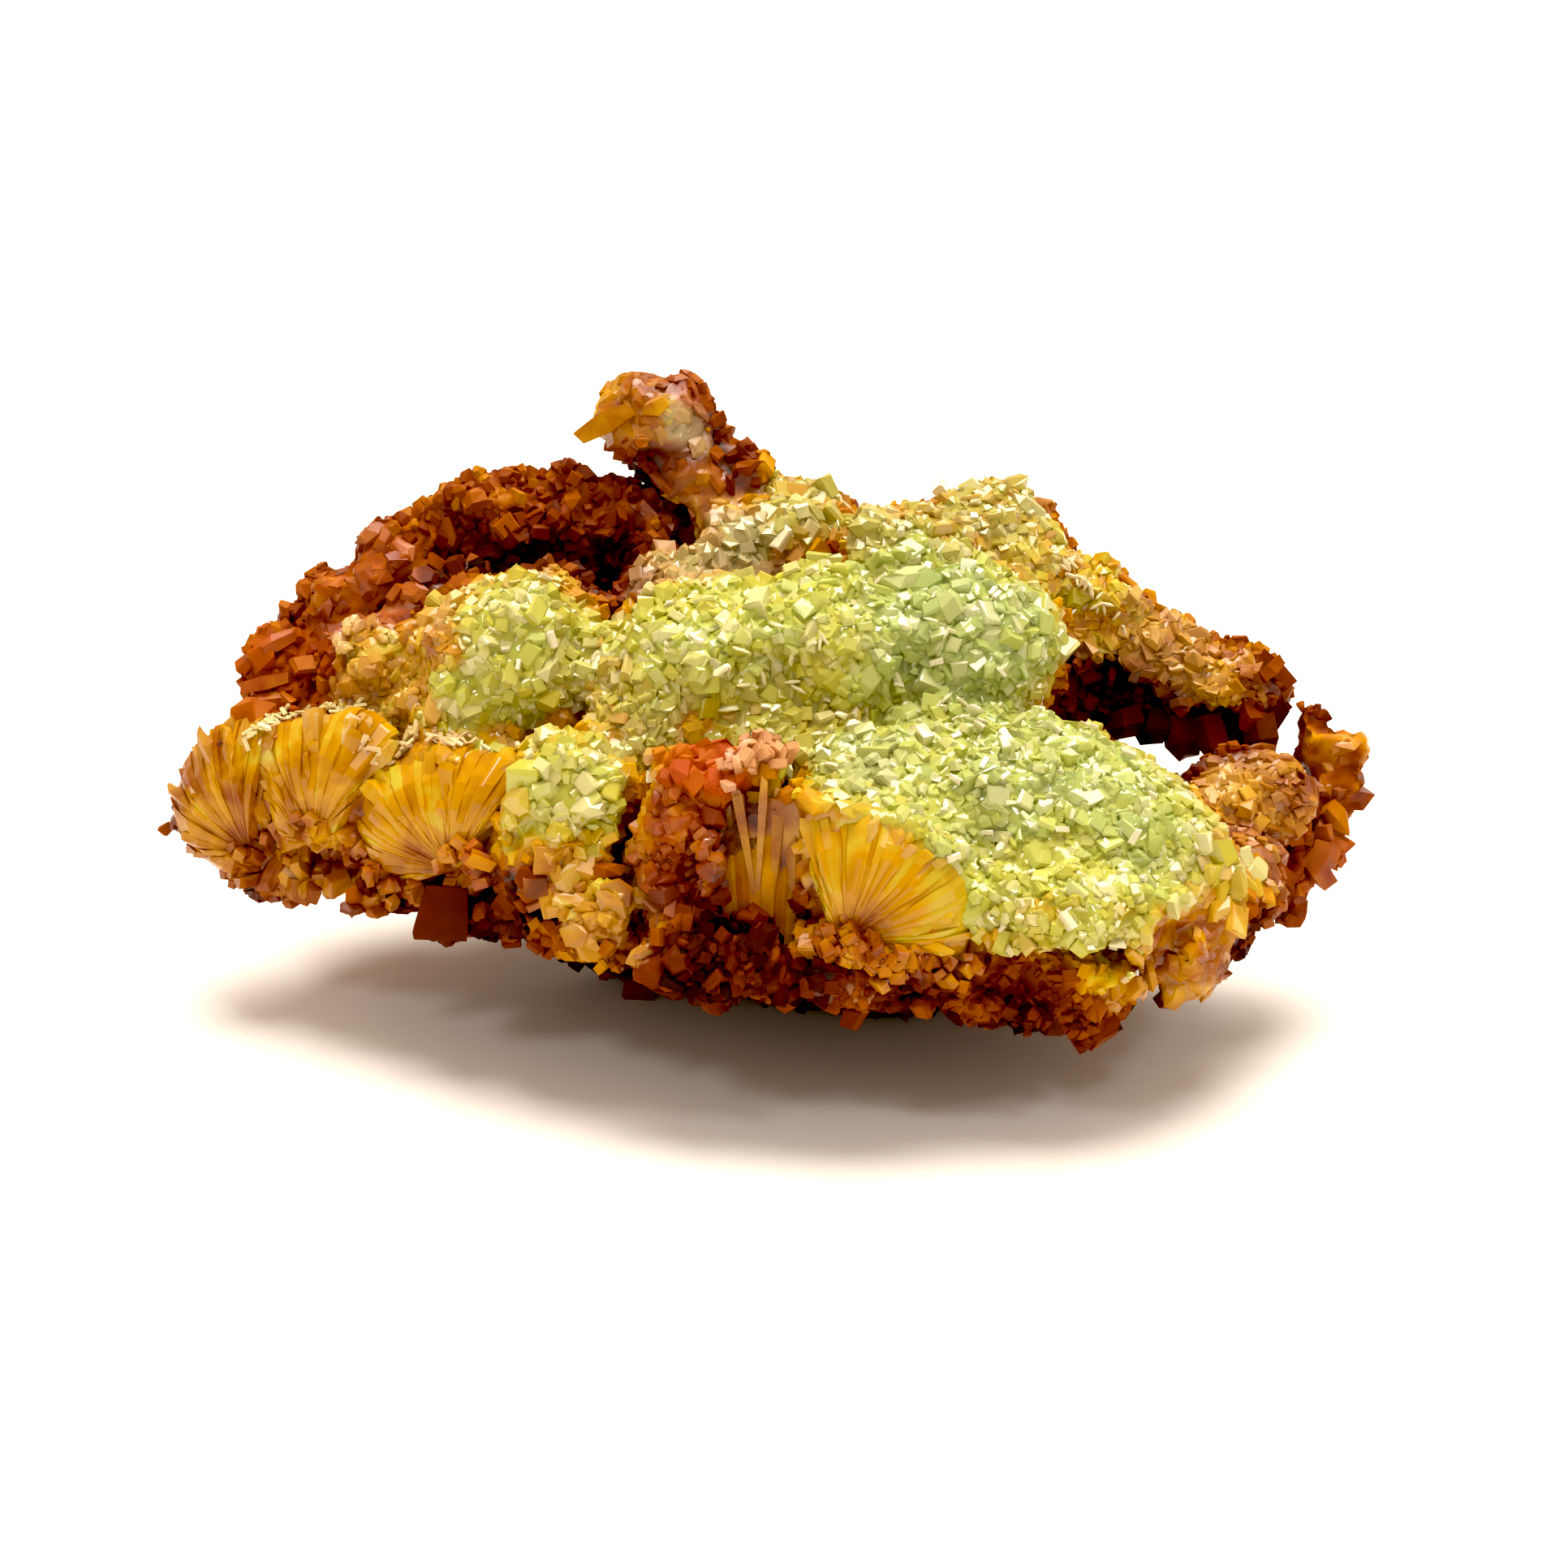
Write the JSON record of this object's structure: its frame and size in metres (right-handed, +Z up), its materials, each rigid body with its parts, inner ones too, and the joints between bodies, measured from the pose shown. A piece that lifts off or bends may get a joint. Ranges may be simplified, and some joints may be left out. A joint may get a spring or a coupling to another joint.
{
  "type": "adamite mineral specimen on limonite matrix",
  "caption": "Natural adamite specimen: a broken limonite plate on a low foot, coated with rounded mounds of yellow-green crystals, broken radiating fans, a free side arm and an upright knob.",
  "frame": {"origin": "centre of the bounding box in plan, at the level of the flat foot", "axes": "+X along the specimen's length, from its broken fan end to its open rim end; +Y away from the side that is pictured; +Z up"},
  "size_m": [0.0616, 0.0348, 0.0299],
  "materials": {
    "limonite": "rough, granular iron oxide rock, rust brown to nearly black in its pits",
    "adamite": "glassy translucent crystals, yellow-green to honey yellow and amber at the edges"
  },
  "bodies": {
    "root": {"limonite_matrix": "limonite", "adamite_crust": "adamite"}
  },
  "joints": []
}
